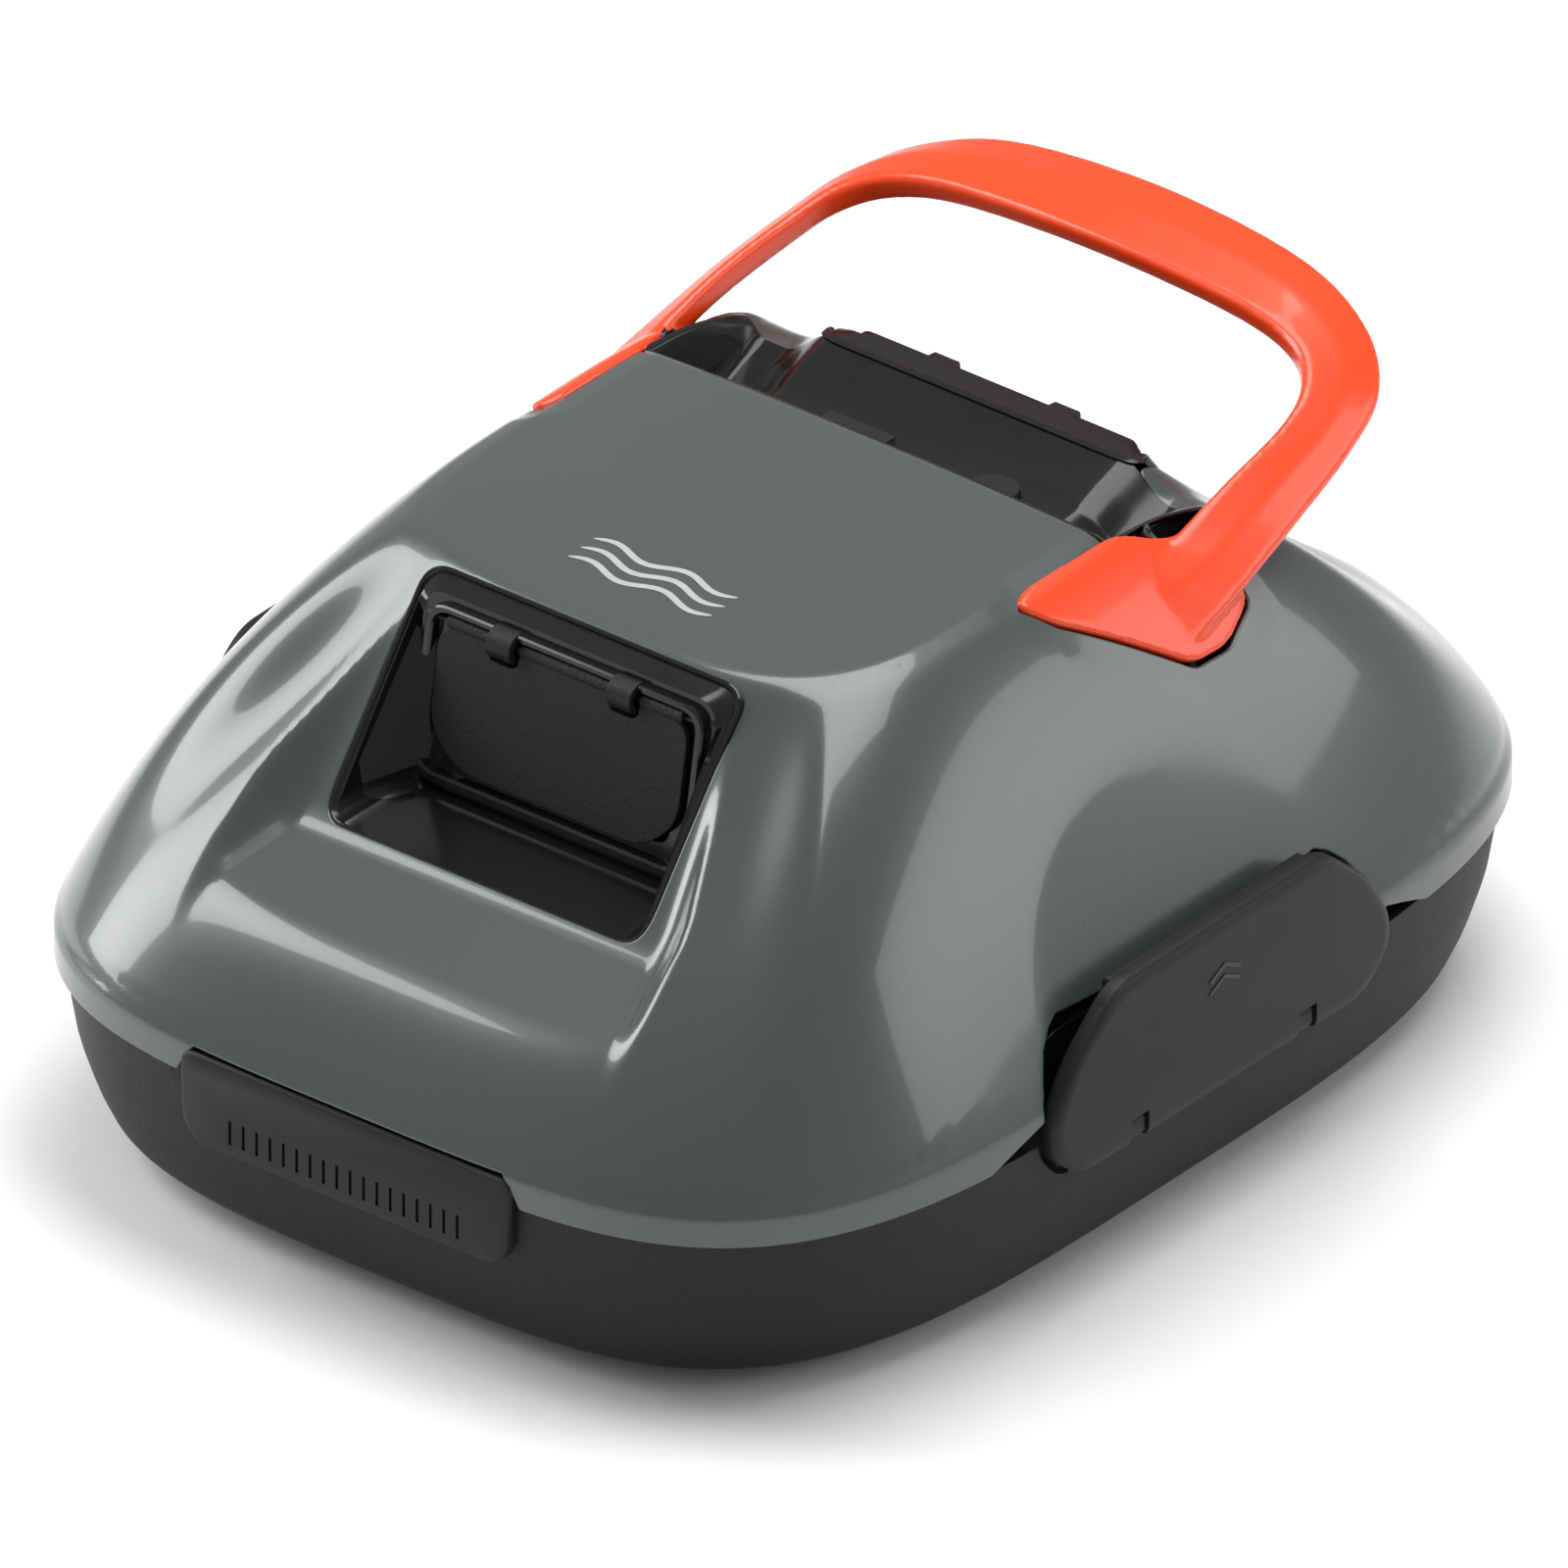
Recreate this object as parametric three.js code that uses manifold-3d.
// Cordless robotic pool cleaner, in millimetres. +Z is up, the front jet faces -Y,
// and the origin is on the floor under the middle of the machine.
import * as THREE from 'three';
import { mergeVertices } from 'three/addons/utils/BufferGeometryUtils.js';
import Module from 'manifold-3d';

const wasm = await Module();
wasm.setup();

// ---------- driving dimensions ----------
const GAP = 0.35; // clearance between pieces that touch
const WALL = 3; // wall of the moulded shells

const RIM = { a: 161.7, b: 203, z: 76, n: 3.85 }; // widest outline, where the dome meets its skirt
const DECK = { a: 88, b: 90, z: 184.5, crown: 2.2 }; // flat top of the dome
const SKIRT_Z = 61.5; // lower edge of the skirt
const SKIRT = { flare: 2.4, shoulder: 70 }; // the skirt stands out past the rim
const RING_POINTS = 56;

const BASE = { z: 61, floor: 4 }; // black tray under the dome
const OPENING = { yTop: 90.3, zTop: 184.6, yLow: 142.2, zLow: 117.9, half: 60.5, corner: 10 };
const RAMP = { y: 187, z: 101.5 }; // where the ramp runs out over the rolled rim
const FLAP = { half: 46.5, top: 176, low: 129, yTop: 98.7, yLow: 106.7, thick: 2.4 };
const HINGE = { y: -FLAP.yTop - 1.3, z: FLAP.top - 3 }; // the front flap's hinge line
const CLIP_X = 22.5; // hinge clips of a flap
const DUCT = { z: 140, bore: 18.5, wall: 2, back: 60 };
const CREST_Y = 42; // rear edge of the deck, in front of the valley
const VALLEY = { z: 168, edge: 178, rear: 91, fall: 10, reach: 94 }; // behind the deck's rear crest

const HANDLE = { thick: 9, lift: 2.6 };
const FOOT = { y0: -3, y1: 78, x0: 88, thick: 4.5, proud: 0.8 };

const LATCH = { face: 165.5, back: 159, top: 102.5, hingeX: 162, hingeZ: 51 };
const KNUCKLE_Y = 39; // the tray's two knuckles that carry a latch's pin
const WHEEL = { r: 14, width: 12, x: 112, y: 118, axle: 2.5 };
const INTAKE = { x: 50, y: 14, rim: 27 };
const LIFT_CLEAR = 0.6; // extra room round pieces that part when the upper body lifts
const BOX = { x: 42, y: 50, low: 96, top: 166, wall: 3 }; // sealed housing for motors and battery
const BUTTON = { x: 30, y: 60, r: 8 };
const PLUG = { x: -17, y: 55 };
const LENS_R = 3;
const FILTER = { low: 64, thick: 4, a: 138, b: 182 };

// ---------- finishes ----------
const finish = (color, roughness, metalness = 0) => ({ color, roughness, metalness });
const FINISH = {
  shell: finish(0x586260, 0.25),
  gloss: finish(0x131415, 0.15),
  black: finish(0x1d1d1e, 0.6),
  grain: finish(0x232324, 0.7),
  orange: finish(0xff5a1c, 0.3),
  rubber: finish(0x18191a, 0.85),
  steel: finish(0xb9bcc0, 0.3, 1),
  white: finish(0xd8dadb, 0.5),
  mesh: finish(0xc8ccd0, 0.7),
  board: finish(0x14552f, 0.5),
  battery: finish(0x2f62a8, 0.5),
  foam: finish(0xe4dcc4, 0.9),
};

// ---------- solids ----------
function solid(geometry) {
  const bare = geometry.clone();
  bare.deleteAttribute('normal');
  bare.deleteAttribute('uv');
  const merged = mergeVertices(bare, 1e-4);
  const vertProperties = new Float32Array(merged.attributes.position.array);
  const triVerts = new Uint32Array(merged.index.array);
  return new wasm.Manifold(new wasm.Mesh({ numProp: 3, vertProperties, triVerts }));
}

function toGeometry(body) {
  const mesh = body.getMesh();
  const geometry = new THREE.BufferGeometry();
  geometry.setAttribute('position', new THREE.BufferAttribute(new Float32Array(mesh.vertProperties), 3));
  geometry.setIndex(new THREE.BufferAttribute(new Uint32Array(mesh.triVerts), 1));
  geometry.computeVertexNormals();
  return geometry;
}

function block(x0, x1, y0, y1, z0, z1) {
  const geometry = new THREE.BoxGeometry(x1 - x0, y1 - y0, z1 - z0);
  return solid(geometry.translate((x0 + x1) / 2, (y0 + y1) / 2, (z0 + z1) / 2));
}

// A round bar between two points.
function rod(from, to, radius, sides = 24) {
  const a = new THREE.Vector3(...from);
  const b = new THREE.Vector3(...to);
  const geometry = new THREE.CylinderGeometry(radius, radius, a.distanceTo(b), sides);
  const along = b.clone().sub(a).normalize();
  const turn = new THREE.Quaternion().setFromUnitVectors(new THREE.Vector3(0, 1, 0), along);
  geometry.applyQuaternion(turn);
  return solid(geometry.translate((a.x + b.x) / 2, (a.y + b.y) / 2, (a.z + b.z) / 2));
}

function ring(from, to, outer, inner, sides = 24) {
  const a = new THREE.Vector3(...from);
  const b = new THREE.Vector3(...to);
  const along = b.clone().sub(a).normalize();
  return rod(from, to, outer, sides)
    .subtract(rod(a.clone().sub(along).toArray(), b.clone().add(along).toArray(), inner, sides));
}

// A flat outline of [u, v] points, extruded: 'x' maps (u, v) to (y, z), 'y' to (x, z), 'z' to (x, y).
function prism(outline, axis, low, high) {
  const corners = outline.map((uv) => new THREE.Vector2(...(axis === 'y' ? uv.slice().reverse() : uv)));
  const shape = new THREE.Shape(corners);
  const geometry = new THREE.ExtrudeGeometry(shape, { depth: high - low, bevelEnabled: false });
  const place = new THREE.Matrix4();
  if (axis === 'x') place.makeBasis(unit(1), unit(2), unit(0)).setPosition(low, 0, 0);
  if (axis === 'y') place.makeBasis(unit(2), unit(0), unit(1)).setPosition(0, low, 0);
  if (axis === 'z') place.makeTranslation(0, 0, low);
  return solid(geometry.applyMatrix4(place));
}

function unit(index) {
  return new THREE.Vector3().setComponent(index, 1);
}

// A closed body through matching rings of points, from the first ring to the last.
function loft(rings) {
  const count = rings[0].length;
  const points = rings.flat();
  const faces = [];
  for (let r = 0; r + 1 < rings.length; r += 1) {
    for (let i = 0; i < count; i += 1) {
      const j = (i + 1) % count;
      const [a, b, c, d] = [r * count + i, r * count + j, (r + 1) * count + j, (r + 1) * count + i];
      faces.push(a, b, c, a, c, d);
    }
  }
  const last = (rings.length - 1) * count;
  const sum = (list) => list.reduce((total, p) => total.add(p), new THREE.Vector3());
  const centre = (list) => sum(list).divideScalar(count);
  points.push(centre(rings[0]), centre(rings.at(-1)));
  for (let i = 0; i < count; i += 1) {
    const j = (i + 1) % count;
    faces.push(points.length - 2, j, i);
    faces.push(points.length - 1, last + i, last + j);
  }
  const geometry = new THREE.BufferGeometry();
  const coordinates = points.flatMap((p) => p.toArray());
  geometry.setAttribute('position', new THREE.Float32BufferAttribute(coordinates, 3));
  geometry.setIndex(faces);
  return solid(geometry);
}

const mirrorY = (body) => body.mirror([0, 1, 0]);
const mirrorX = (body) => body.mirror([1, 0, 0]);
const union = (...bodies) => bodies.reduce((sum, body) => sum.add(body));

// ---------- the dome ----------
// Height of the dome over a point of the plan, by halving the ring parameter.
function domeHeight(x, y, inset) {
  let [low, high] = [0, 1];
  for (let i = 0; i < 30; i += 1) {
    const t = (low + high) / 2;
    const a = RIM.a + (DECK.a - RIM.a) * t - inset;
    const b = RIM.b + (DECK.b - RIM.b) * t - inset;
    const inside = Math.abs(x / a) ** RIM.n + Math.abs(y / b) ** RIM.n < 1;
    if (inside) low = t;
    else high = t;
  }
  return RIM.z + (DECK.z - RIM.z) * rise(low, 0) - inset;
}

// One ring of the plan outline: a superellipse with half sizes a and b.
function superRing(a, b, height, n = RIM.n) {
  const list = [];
  for (let i = 0; i < RING_POINTS; i += 1) {
    const turn = (i / RING_POINTS) * 2 * Math.PI;
    const [c, s] = [Math.cos(turn), Math.sin(turn)];
    const reach = (Math.abs(c) ** n + Math.abs(s) ** n) ** (-1 / n);
    list.push(new THREE.Vector3(a * c * reach, b * s * reach, height(Math.abs(s * reach) ** n)));
  }
  return list;
}

// Height of the dome, 0 at the rim and 1 at the deck: convex at the sides, straighter at the two ends.
function rise(t, endShare) {
  const corner = 2.2 * endShare * (1 - endShare) * t * (1 - t) ** 2;
  const side = 1 - (1 - t) ** 1.3 + corner;
  const end = t + 0.75 * t * (1 - t) ** 3;
  const share = THREE.MathUtils.smoothstep(endShare, 0.4, 0.78);
  return side + (end - side) * share;
}

function dome(inset, drop, bottom) {
  const rings = [bottom, SKIRT.shoulder]
    .map((z) => superRing(RIM.a + SKIRT.flare - inset, RIM.b + SKIRT.flare - inset, () => z));
  for (const t of [0, 0.06, 0.14, 0.28, 0.44, 0.6, 0.76, 0.9, 1]) {
    const a = RIM.a + (DECK.a - RIM.a) * t - inset;
    const b = RIM.b + (DECK.b - RIM.b) * t - inset;
    rings.push(superRing(a, b, (share) => RIM.z + (DECK.z - RIM.z) * rise(t, share) - drop));
  }
  for (const share of [0.6, 0.2]) {
    const crown = DECK.z + DECK.crown * (1 - share ** 2) - drop;
    rings.push(superRing(DECK.a * share, DECK.b * share, () => crown));
  }
  return loft(rings);
}

// The space above the scooped ramp and the slanted jet opening, at the front.
function scoop(drop, widen) {
  const slope = (OPENING.zTop - OPENING.zLow) / (OPENING.yLow - OPENING.yTop);
  const runOut = (OPENING.zLow - RAMP.z) / (RAMP.y - OPENING.yLow);
  const floor = (y) => (y < OPENING.yLow
    ? OPENING.zTop - slope * (y - OPENING.yTop) : OPENING.zLow - runOut * (y - OPENING.yLow));
  const sections = [[80, 60], [OPENING.yTop, 61], [116, 65], [OPENING.yLow, 69],
    [152, 72], [164, 76], [180, 80], [215, 84]];
  return loft(sections.map(([y, half]) => {
    const low = floor(y) - drop;
    const foot = half + widen;
    const flare = 0.62 * (200 - low);
    return [[-foot, low], [foot, low], [foot + flare, 200 + drop], [-foot - flare, 200 + drop]]
      .map(([x, z]) => new THREE.Vector3(x, -y, z));
  }));
}

// The slanted jet opening as a rounded-corner block square to its own plane.
function openingBlock(shrink, inward, outward) {
  const run = OPENING.yLow - OPENING.yTop;
  const fall = OPENING.zTop - OPENING.zLow;
  const long = Math.hypot(run, fall) / 2 - shrink;
  const half = OPENING.half - shrink;
  const r = OPENING.corner - shrink;
  const shape = new THREE.Shape();
  shape.moveTo(half - r, -long);
  shape.absarc(half - r, -long + r, r, -Math.PI / 2, 0);
  shape.absarc(half - r, long - r, r, 0, Math.PI / 2);
  shape.absarc(-half + r, long - r, r, Math.PI / 2, Math.PI);
  shape.absarc(-half + r, -long + r, r, Math.PI, 1.5 * Math.PI);
  const settings = { depth: inward + outward, bevelEnabled: false, curveSegments: 4 };
  const geometry = new THREE.ExtrudeGeometry(shape, settings);
  geometry.translate(0, 0, -inward);
  const up = new THREE.Vector3(0, run, fall).normalize();
  const out = new THREE.Vector3(0, -fall, run).normalize();
  const place = new THREE.Matrix4().makeBasis(unit(0), up, out);
  place.setPosition(0, -(OPENING.yTop + run / 2), (OPENING.zTop + OPENING.zLow) / 2);
  return solid(geometry.applyMatrix4(place));
}

// The valley behind the deck's crest, as the space above it; its two ends fall away past the hood.
function valleySpace(drop, clear) {
  const { reach } = VALLEY;
  const [front, rear] = [CREST_Y - clear, 130];
  const floor = [[front, VALLEY.edge], [50, 172], [60, VALLEY.z], [70, 170], [82, 177],
    [VALLEY.rear, 181.5], [rear, 181.5]];
  const ends = [[-reach, VALLEY.fall + 1], [-70, VALLEY.fall], [-56, 0],
    [56, 0], [70, VALLEY.fall], [reach, VALLEY.fall + 1]];
  return loft(ends.map(([x, fall]) => [...floor, [rear, 205], [front, 205]]
    .map(([y, z]) => new THREE.Vector3(x, y, z === 205 ? z : z - drop - (y > front ? fall : 0)))));
}

// Plan outline of a handle foot, on the +X side.
function footPlan(grow) {
  const g = grow;
  return [[FOOT.x0 - g, FOOT.y0 + 6], [FOOT.x0 + 3, FOOT.y0 - g], [98, 6 - g], [112 + g, 36],
    [117 + g, 46], [117 + g, 60], [112 + g, FOOT.y1 + g], [98 - g, FOOT.y1 + g],
    [95 - g, 56], [FOOT.x0 - g, CREST_Y]];
}

// The recess in the side that a latch lies in, on the +X side.
function latchRecess(grow) {
  const g = grow;
  const outline = [[-83 - g, 40], [83 + g, 40], [83 + g, 74], [73 + g, 88], [52 + g, 107 + g],
    [-52 - g, 107 + g], [-73 - g, 88], [-83 - g, 74]];
  return prism(outline, 'x', 150 - g, 185);
}

// The notch over an end grip pad.
const gripNotch = (grow) => block(-66 - grow, 66 + grow, -215, -190 + grow, 40, 73 + grow);

// Where the handle is screwed on, from inside the shell.
const FOOT_SCREWS = [[99, 18], [106, 58]];

function footScrewHoles() {
  const hole = ([x, y]) => rod([x, y, 120], [x, y, domeHeight(x, y, FOOT.thick)], 1.9, 12);
  return bothSides(union(...FOOT_SCREWS.map(hole)));
}

const outer = dome(0, 0, SKIRT_Z);
const inner = dome(WALL, WALL, SKIRT_Z - 5);

function bothEnds(body) {
  return union(body, mirrorY(body));
}
function bothSides(body) {
  return union(body, mirrorX(body));
}

function makeShell() {
  const spaces = (grow, clear) => union(bothEnds(scoop(grow, clear)), bothSides(latchRecess(grow)),
    bothEnds(gripNotch(grow)), valleySpace(grow, clear));
  const carve = spaces(0, 0);
  const keep = spaces(WALL, 1);
  const footFloor = FOOT.thick + GAP;
  const legRoom = (grow) => block(90 - grow, 112 + grow, 40, 92 + grow, 120, 205);
  const footRecess = bothSides(prism(footPlan(1), 'z', 120, 205).add(legRoom(0)))
    .subtract(dome(footFloor, footFloor, 70));
  const footBacking = bothSides(prism(footPlan(1 + WALL), 'z', 120, 205).add(legRoom(WALL)))
    .subtract(dome(footFloor + WALL, footFloor + WALL, 70));
  const windows = union(bothEnds(openingBlock(0, 12, 30)), footRecess, footScrewHoles(),
    block(-DECK.a, DECK.a, CREST_Y, VALLEY.rear, 150, 210));
  return outer.subtract(carve).subtract(inner.subtract(union(keep, footBacking))).subtract(windows);
}

// ---------- jet nozzle, made at the front ----------
function makeNozzle() {
  const tilt = (FLAP.yLow - FLAP.yTop) / (FLAP.top - FLAP.low);
  const plane = (z, back = 0) => -(FLAP.yTop + tilt * (FLAP.top - z)) + back;
  const skin = outer.subtract(scoop(GAP, 0));
  const rim = openingBlock(0.5, 45, 30).intersect(skin);
  const lip = 2.5;
  const wedge = prism([[-150, 190], [-150, 112], [plane(115, 8), 112], [plane(172, 8), 172], [-91.2, 174],
    [-91.2, 190]], 'x', -59.5, 59.5);
  const floorCut = prism([[plane(180), 184], [-100, 200], [-170, 200], [-160, 112.8], [-OPENING.yLow, 119],
    [plane(121.5), 121.5]], 'x', -56, 56);
  const mouth = prism([[plane(171, -1), 171], [plane(131, -1), 131], [-84, 131], [-84, 171]], 'x', -42, 42);
  const throat = prism([[-103, 173], [-103, 121], [-82, 119], [-82, 173]], 'x', -45, 45);
  const tube = rod([0, -84, DUCT.z], [0, -DUCT.back, DUCT.z], DUCT.bore + DUCT.wall, 32);
  const bore = rod([0, -98, DUCT.z], [0, -DUCT.back + 1, DUCT.z], DUCT.bore, 32);
  const ringFace = prism([[plane(177.5), 177.5], [plane(123), 123], [plane(123, -lip), 123],
    [plane(177.5, -lip), 177.5]], 'x', -52, 52);
  const flapRoom = prism([[plane(177.5, 0.5), 177.5], [plane(126, 0.5), 126], [-150, 126], [-150, 177.5]],
    'x', -49, 49);
  return union(rim.intersect(wedge).subtract(floorCut), throat, tube, ringFace)
    .subtract(union(mouth, bore, flapRoom, pinLine(49, 2.7)));
}

// Flap and its pin, made at the front in the closed position.
function makeFlap() {
  const tilt = (FLAP.yLow - FLAP.yTop) / (FLAP.top - FLAP.low);
  const plane = (z, out) => -(FLAP.yTop + tilt * (FLAP.top - z)) - out;
  const [top, low, h] = [FLAP.top - 4, FLAP.low, FLAP.half];
  const outline = [[-h, top], [h, top], [h - 1, low + 14], [h - 5, low + 4], [h - 14, low],
    [14 - h, low], [5 - h, low + 4], [1 - h, low + 14]];
  const slab = prism([[plane(top, 0.2), top], [plane(low, 0.2), low], [plane(low, FLAP.thick), low],
    [plane(top, FLAP.thick), top]], 'x', -h, h);
  const plate = slab.intersect(prism(outline, 'y', -120, -90));
  const barrel = (x0, x1) => rod([x0, HINGE.y, HINGE.z], [x1, HINGE.y, HINGE.z], 2.2, 16);
  const clipRoom = (x) => rod([x - 5, HINGE.y, HINGE.z], [x + 5, HINGE.y, HINGE.z], 4.7, 20);
  return union(plate, barrel(-44, -28), barrel(-17, 17), barrel(28, 44))
    .subtract(union(pinLine(60, 1.1), clipRoom(-CLIP_X), clipRoom(CLIP_X)));
}

// The flap's hinge line as a round bar from -x to +x.
function pinLine(x, radius, sides = 12) {
  return rod([-x, HINGE.y, HINGE.z], [x, HINGE.y, HINGE.z], radius, sides);
}

// One hook-shaped hinge clip that holds the pin.
function makeClip(x) {
  const { y, z } = HINGE;
  return ring([x - 4, y, z], [x + 4, y, z], 4.2, 2.6, 20)
    .subtract(block(x - 6, x + 6, y - 6, y - 0.6, z - 6, z - 1.2))
    .add(block(x - 4, x + 4, y + 1.8, y + 6, z + 1, z + 4));
}

// ---------- deck cover over the valley ----------
function makeDeckCover() {
  const plan = block(-DECK.a + GAP, DECK.a - GAP, CREST_Y + GAP, VALLEY.rear - GAP, 150, 205);
  const top = plan.intersect(outer).subtract(valleySpace(0, 1)).subtract(mirrorY(scoop(0.5, 0)));
  const under = valleySpace(WALL, 5).intersect(dome(0, WALL, SKIRT_Z));
  return top.intersect(under)
    .subtract(mirrorY(openingBlock(0, 3, 30)))
    .subtract(block(-60, 60, 79, 95, 100, 174.2))
    .subtract(bothSides(prism(footPlan(1.4), 'z', 120, 205)))
    .subtract(rod([BUTTON.x, BUTTON.y, 150], [BUTTON.x, BUTTON.y, 200], BUTTON.r + 0.5, 24))
    .subtract(block(PLUG.x - 10, PLUG.x + 10, PLUG.y - 2.5, PLUG.y + 2.5, 150, 200))
    .subtract(rod([0, BUTTON.y, 150], [0, BUTTON.y, 200], LENS_R + 0.4, 20));
}

// ---------- handle ----------
function handleSection(inside, outside, thick) {
  const across = outside.clone().sub(inside);
  const along = new THREE.Vector3(-outside.y, outside.x, 0).normalize();
  const normal = along.clone().cross(across).normalize();
  if (normal.z < 0) normal.negate();
  const bow = 1.6;
  const at = (share, depth) => inside.clone().addScaledVector(across, share).addScaledVector(normal, depth);
  return [at(0.06, 0), at(0.5, bow), at(0.94, 0), at(1, -2.2), at(0.9, -thick * 0.8), at(0.5, -thick),
    at(0.1, -thick), at(0, -2.2)];
}

function makeHandle() {
  const insideLine = [[96, 60, 175], [95, 88, 182.8], [92.5, 118, 188], [87, 134, 193],
    [74, 143.5, 197], [50, 146.4, 200], [0, 146.4, 202]];
  const outsideLine = [[114.5, 74, 160.5], [110.5, 106, 169], [106, 134, 176], [99, 156, 183.5],
    [82, 170, 193], [52, 177, 201.5], [0, 178.8, 205.3]];
  const curve = (list) => {
    const half = list.map(([x, y, z]) => new THREE.Vector3(x, y, z + HANDLE.lift));
    const other = half.slice(0, -1).reverse().map((p) => new THREE.Vector3(-p.x, p.y, p.z));
    return new THREE.CatmullRomCurve3([...half, ...other]);
  };
  const steps = 44;
  const [insideCurve, outsideCurve] = [curve(insideLine), curve(outsideLine)];
  const rings = [];
  for (let i = 0; i <= steps; i += 1) {
    const [inside, outside] = [insideCurve.getPoint(i / steps), outsideCurve.getPoint(i / steps)];
    rings.push(handleSection(inside, outside, HANDLE.thick));
  }
  const underFoot = dome(FOOT.thick, FOOT.thick, SKIRT_Z - 5);
  const foot = prism(footPlan(0), 'z', 120, 205).intersect(dome(-FOOT.proud, -FOOT.proud, SKIRT_Z));
  const rootBlend = loft([
    handleSection(new THREE.Vector3(91, 34, 178), new THREE.Vector3(115.5, 46, 152), 5),
    handleSection(insideCurve.getPoint(0), outsideCurve.getPoint(0), HANDLE.thick),
    handleSection(insideCurve.getPoint(0.03), outsideCurve.getPoint(0.03), HANDLE.thick),
  ]);
  return union(loft(rings), bothSides(union(foot, rootBlend))).subtract(underFoot);
}

// ---------- tray ----------
function trayBody(inset, raise, top) {
  const steps = [[BASE.floor + raise, 24], [BASE.floor + 1.5 + raise, 17], [10 + raise, 11.2],
    [21, 6.8], [36, 2.6], [top, -1]];
  return loft(steps.map(([z, shrink]) => {
    const total = shrink + inset;
    return superRing(RIM.a - total, RIM.b - total, () => z, 3.75);
  }));
}

function wheelWell(grow) {
  const { x, y, width, r } = WHEEL;
  const [halfX, halfY] = [width / 2 + 2.5 + grow, r + 3 + grow];
  return bothEnds(bothSides(block(x - halfX, x + halfX, y - halfY, y + halfY, 0, 31 + grow)));
}

function makeTray() {
  const intake = (g, top) => block(-INTAKE.x - g, INTAKE.x + g, -INTAKE.y - g, INTAKE.y + g, 0, top);
  const pocket = (g) => bothSides(latchRecess(g)).intersect(block(-200, 200, -120, 120, 41 - g, 70));
  const raised = union(wheelWell(WALL), intake(2.5, INTAKE.rim), pocket(WALL + LIFT_CLEAR));
  const hollow = trayBody(2.8, 3, BASE.z + 5).subtract(raised);
  const pads = bothEnds(block(-68, 68, -215, -200, 36, 80));
  const axleHole = rod([90, WHEEL.y, WHEEL.r], [134, WHEEL.y, WHEEL.r], WHEEL.axle + 0.1, 16);
  const post = block(49, 53.5, -INTAKE.y - 6.4, -INTAKE.y - 1, BASE.floor + 2, INTAKE.rim + 4);
  const [pinY, pinZ] = [-INTAKE.y - 4.2, INTAKE.rim + 1.6];
  const pinHole = rod([-60, pinY, pinZ], [60, pinY, pinZ], 0.95, 10);
  const knuckle = block(148, LATCH.hingeX + 2.2, KNUCKLE_Y - 3.3, KNUCKLE_Y + 3.3, 47, LATCH.hingeZ + 2.8);
  return trayBody(0, 0, BASE.z).subtract(hollow).add(bothEnds(bothSides(post)))
    .subtract(union(wheelWell(0), intake(0, INTAKE.rim + 10), pocket(0), pads))
    .add(bothEnds(bothSides(knuckle)))
    .subtract(union(bothEnds(bothSides(axleHole)), bothEnds(pinHole), latchPinHoles()));
}

function latchPinHoles() {
  return bothSides(alongY(LATCH.hingeX, LATCH.hingeZ, 90, 1.6, 12));
}

function makeGripPad() {
  const outline = [[-56, 39.5], [56, 39.5], [61, 46], [62, 69.5], [-62, 69.5], [-61, 46]];
  const plate = prism(outline, 'y', -204.5, -200.5);
  const grooves = [];
  for (let i = 0; i < 18; i += 1) {
    const x = -42.5 + 5 * i;
    grooves.push(block(x - 0.5, x + 0.5, -206, -203.7, 44, 52));
  }
  return plate.subtract(union(...grooves));
}

// ---------- latch, made on the +X side ----------
function makeLatch() {
  const outline = [[-68, 46], [68, 46], [79, 60], [79, 70], [69, 86], [48, LATCH.top],
    [-48, LATCH.top], [-69, 86], [-79, 70], [-79, 60]];
  const plate = prism(outline, 'x', LATCH.back, LATCH.face);
  const lip = block(LATCH.back - 3, LATCH.back + 1, -46, 46, 96, LATCH.top);
  const hole = alongY(LATCH.hingeX, LATCH.hingeZ, 90, 1.6, 14);
  const notch = block(LATCH.back - 1, LATCH.face + 1, KNUCKLE_Y - 4, KNUCKLE_Y + 4, 44, 55);
  return union(plate, lip).subtract(union(hole, bothEnds(notch)));
}

// A round bar along Y, from -y to +y.
function alongY(x, z, y, radius, sides) {
  return rod([x, -y, z], [x, y, z], radius, sides);
}

const makeLatchPin = () => alongY(LATCH.hingeX, LATCH.hingeZ, 66, 1.3, 12);

// ---------- wheels and propellers ----------
function makeWheel(x, y) {
  const half = WHEEL.width / 2;
  const [hole, edge] = [WHEEL.axle + 0.4, 1.5];
  const profile = [[hole, -half], [WHEEL.r - edge, -half], [WHEEL.r, edge - half], [WHEEL.r, half - edge],
    [WHEEL.r - edge, half], [hole, half], [hole, -half]];
  const lathe = new THREE.LatheGeometry(profile.map(([u, v]) => new THREE.Vector2(u, v)), 28);
  return solid(lathe.rotateZ(-Math.PI / 2).translate(x, y, WHEEL.r));
}

function makeAxle(x, y) {
  return rod([x - 10.5, y, WHEEL.r], [x + 10.5, y, WHEEL.r], WHEEL.axle, 14);
}

function makePropeller() {
  const shaft = rod([0, -67, DUCT.z], [0, -46, DUCT.z], 2, 12);
  const hub = rod([0, -77, DUCT.z], [0, -66, DUCT.z], 5.5, 20).add(shaft);
  const blades = [0, 1, 2].map((k) => {
    const blade = new THREE.BoxGeometry(6.5, 1.6, 13);
    blade.rotateZ(0.6).translate(0, 0, 10);
    blade.rotateY((k * 2 * Math.PI) / 3).translate(0, -71.5, DUCT.z);
    return solid(blade);
  });
  return union(hub, ...blades);
}

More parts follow.
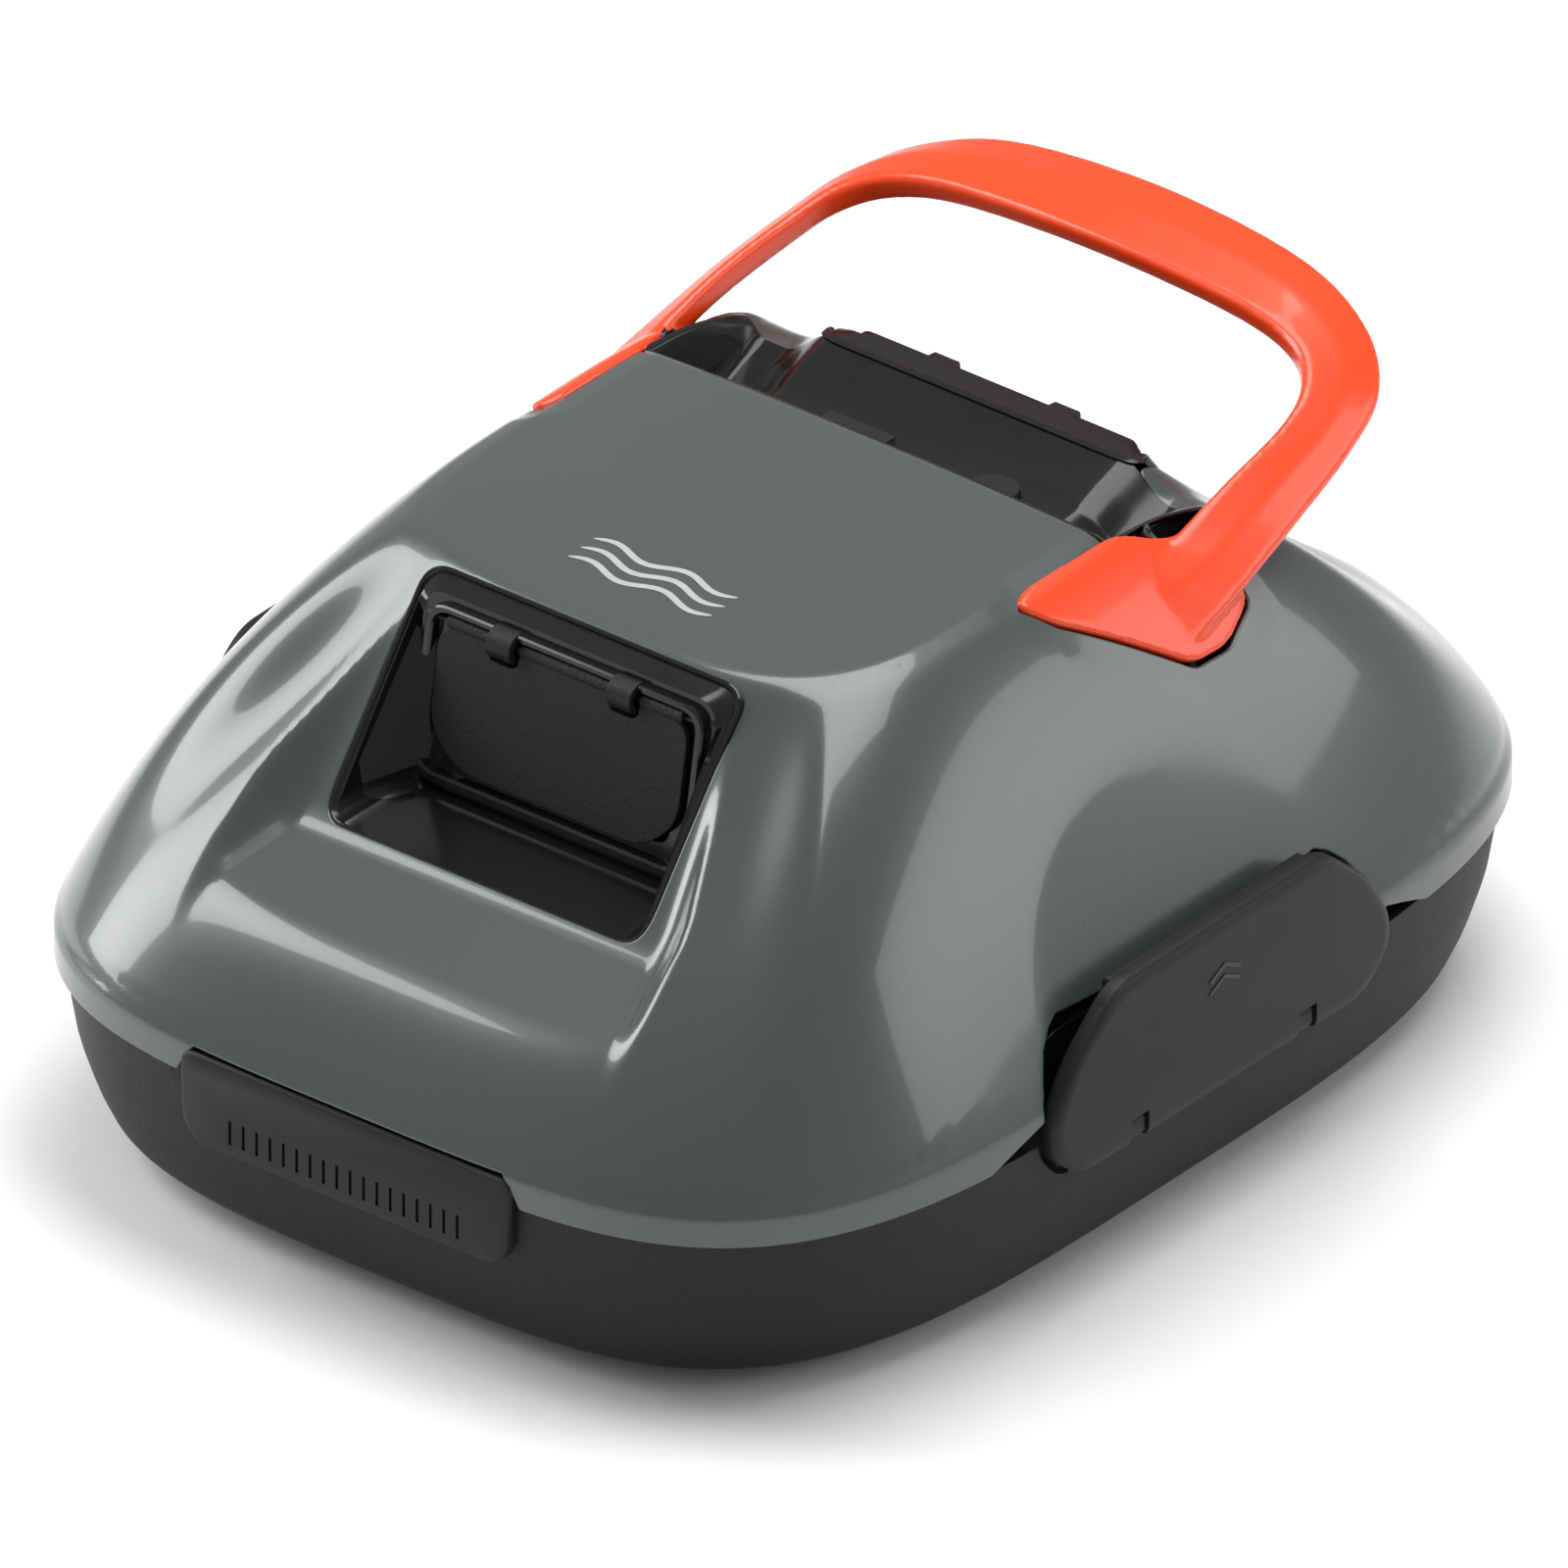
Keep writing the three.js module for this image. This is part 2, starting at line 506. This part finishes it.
// ---------- the assembly ----------
const group = new THREE.Group();
function add(name, body, look) {
  const material = new THREE.MeshStandardMaterial(look);
  const mesh = new THREE.Mesh(toGeometry(body), material);
  mesh.name = name;
  group.add(mesh);
}

const clips = union(makeClip(-CLIP_X), makeClip(CLIP_X));
const nozzle = union(makeNozzle(), clips).subtract(pinLine(49, 1.1));
const shell = makeShell();
add('top_shell', shell, FINISH.shell);
add('deck_cover', makeDeckCover(), FINISH.gloss);
add('front_nozzle', nozzle, FINISH.gloss);
add('rear_nozzle', mirrorY(nozzle), FINISH.gloss);
add('front_flap', makeFlap(), FINISH.grain);
add('rear_flap', mirrorY(makeFlap()), FINISH.grain);
add('front_flap_pin', pinLine(48, 0.8, 10), FINISH.steel);
add('rear_flap_pin', mirrorY(pinLine(48, 0.8, 10)), FINISH.steel);
add('handle', makeHandle(), FINISH.orange);

for (const [index, [x, y]] of FOOT_SCREWS.entries()) {
  const top = domeHeight(x, y, FOOT.thick + GAP) - 1.5;
  const floor = domeHeight(x, y, FOOT.thick + GAP + WALL);
  const head = rod([x, y, floor - 8], [x, y, floor - 5.5], 3.4, 16);
  const screw = head.add(rod([x, y, floor - 6], [x, y, top], 1.5, 12));
  add(`right_handle_screw_${index + 1}`, screw, FINISH.steel);
  add(`left_handle_screw_${index + 1}`, mirrorX(screw), FINISH.steel);
}

// Controls in the valley behind the deck.
const buttonCap = rod([BUTTON.x, BUTTON.y, 164], [BUTTON.x, BUTTON.y, 171], BUTTON.r);
const buttonFlange = rod([BUTTON.x, BUTTON.y, 161.5], [BUTTON.x, BUTTON.y, 164.2], BUTTON.r + 1.5);
add('power_button', buttonCap.add(buttonFlange), FINISH.rubber);
add('charge_plug', union(block(PLUG.x - 9.6, PLUG.x + 9.6, PLUG.y - 2.1, PLUG.y + 2.1, 165.5, 173),
  block(PLUG.x - 12, PLUG.x + 12, PLUG.y - 3.5, PLUG.y + 3.5, 172.6, 176)), FINISH.rubber);
add('charge_port', block(PLUG.x - 12, PLUG.x + 12, PLUG.y - 4, PLUG.y + 4, 154, 163.5)
  .subtract(block(PLUG.x - 9, PLUG.x + 9, PLUG.y - 2, PLUG.y + 2, 157, 165)), FINISH.black);
add('status_light', rod([0, BUTTON.y, 160.5], [0, BUTTON.y, 168.8], LENS_R, 20), FINISH.white);

// Sealed housing with motors, battery and electronics, hung under the deck.
const [roomX, roomY] = [BOX.x - BOX.wall, BOX.y - BOX.wall];
const inside = block(-roomX, roomX, -roomY, roomY, BOX.low - 1, BOX.top - BOX.wall);
const lug = block(BOX.x - 8, BOX.x, 28, 38, BOX.top - 1, 180.5);
const shaftHole = bothEnds(rod([0, -BOX.y - 1, DUCT.z], [0, BOX.wall - BOX.y + 1, DUCT.z], 5));
add('motor_housing', union(block(-BOX.x, BOX.x, -BOX.y, BOX.y, BOX.low, BOX.top), bothEnds(bothSides(lug)))
  .subtract(inside).subtract(shaftHole), FINISH.black);
add('housing_seal', block(-BOX.x, BOX.x, -BOX.y, BOX.y, BOX.low - 1.4, BOX.low - GAP)
  .subtract(block(2 - BOX.x, BOX.x - 2, 2 - BOX.y, BOX.y - 2, 90, 100)), FINISH.rubber);
add('housing_lid', block(-BOX.x, BOX.x, -BOX.y, BOX.y, BOX.low - 5, BOX.low - 1.4 - GAP), FINISH.black);
for (const [index, [x, y]] of [[-30, -38], [30, -38], [30, 38], [-30, 38]].entries()) {
  const lidScrew = rod([x, y, BOX.low - 7.6], [x, y, BOX.low - 5 - GAP], 3.2, 16);
  add(`lid_screw_${index + 1}`, lidScrew, FINISH.steel);
}
add('battery_pack', block(-36, 36, -44, 44, BOX.low + 3, BOX.low + 23), FINISH.battery);
add('control_board', block(-30, 30, -32, 32, BOX.top - 6.5, BOX.top - 5), FINISH.board);

for (const end of ['front', 'rear']) {
  const place = end === 'front' ? (body) => body : mirrorY;
  add(`${end}_motor`, place(rod([0, -44, DUCT.z], [0, -10, DUCT.z], 15, 28)), FINISH.steel);
  const shaftSeal = ring([0, 0.2 - BOX.y, DUCT.z], [0, BOX.wall - BOX.y, DUCT.z], 4.65, 2.35, 20);
  add(`${end}_shaft_seal`, place(shaftSeal), FINISH.rubber);
  add(`${end}_propeller`, place(makePropeller()), FINISH.white);
  add(`${end}_grip_pad`, place(makeGripPad()), FINISH.black);
  add(`${end}_scraper`, place(block(-60, 60, -24, -21.5, 1, BASE.floor - GAP)), FINISH.rubber);
}

// Filter that hangs under the upper body.
function filterPlate(inset, from, to) {
  const ringAt = (up) => superRing(FILTER.a - inset, FILTER.b - inset, () => FILTER.low + up, 3.6);
  return loft([ringAt(from), ringAt(to)]);
}
const filterWindow = filterPlate(12, -1, FILTER.thick + 1);
add('filter_frame', filterPlate(0, 0, FILTER.thick).subtract(filterWindow), FINISH.white);
add('filter_screen', filterPlate(12.4, 1.2, 2.4), FINISH.mesh);

for (const side of ['right', 'left']) {
  const place = side === 'right' ? (body) => body : mirrorX;
  add(`${side}_float`, place(block(58, 102, -58, 58, 108, 134)), FINISH.foam);
  add(`${side}_latch`, place(makeLatch()), FINISH.black);
  add(`${side}_latch_pin`, place(makeLatchPin()), FINISH.steel);
  add(`${side}_ballast`, place(block(66, 90, -60, 60, BASE.floor + 3.4, BASE.floor + 12)), FINISH.steel);
  for (const [end, sign] of [['front', -1], ['rear', 1]]) {
    add(`${end}_${side}_wheel`, place(makeWheel(WHEEL.x, sign * WHEEL.y)), FINISH.rubber);
    add(`${end}_${side}_axle`, place(makeAxle(WHEEL.x, sign * WHEEL.y)), FINISH.steel);
  }
}

add('base_tray', makeTray(), FINISH.black);
for (const end of ['front', 'rear']) {
  const place = end === 'front' ? (body) => body : mirrorY;
  const [y, z] = [-INTAKE.y - 4.2, INTAKE.rim + 1.6];
  const plate = block(-48, 48, y, -0.3, z - 1, z + 1).add(rod([-48, y, z], [48, y, z], 1.5, 14));
  add(`${end}_intake_flap`, place(plate.subtract(rod([-49, y, z], [49, y, z], 0.8, 10))), FINISH.rubber);
  add(`${end}_intake_pin`, place(rod([-52.6, y, z], [52.6, y, z], 0.65, 10)), FINISH.steel);
}

export default group;
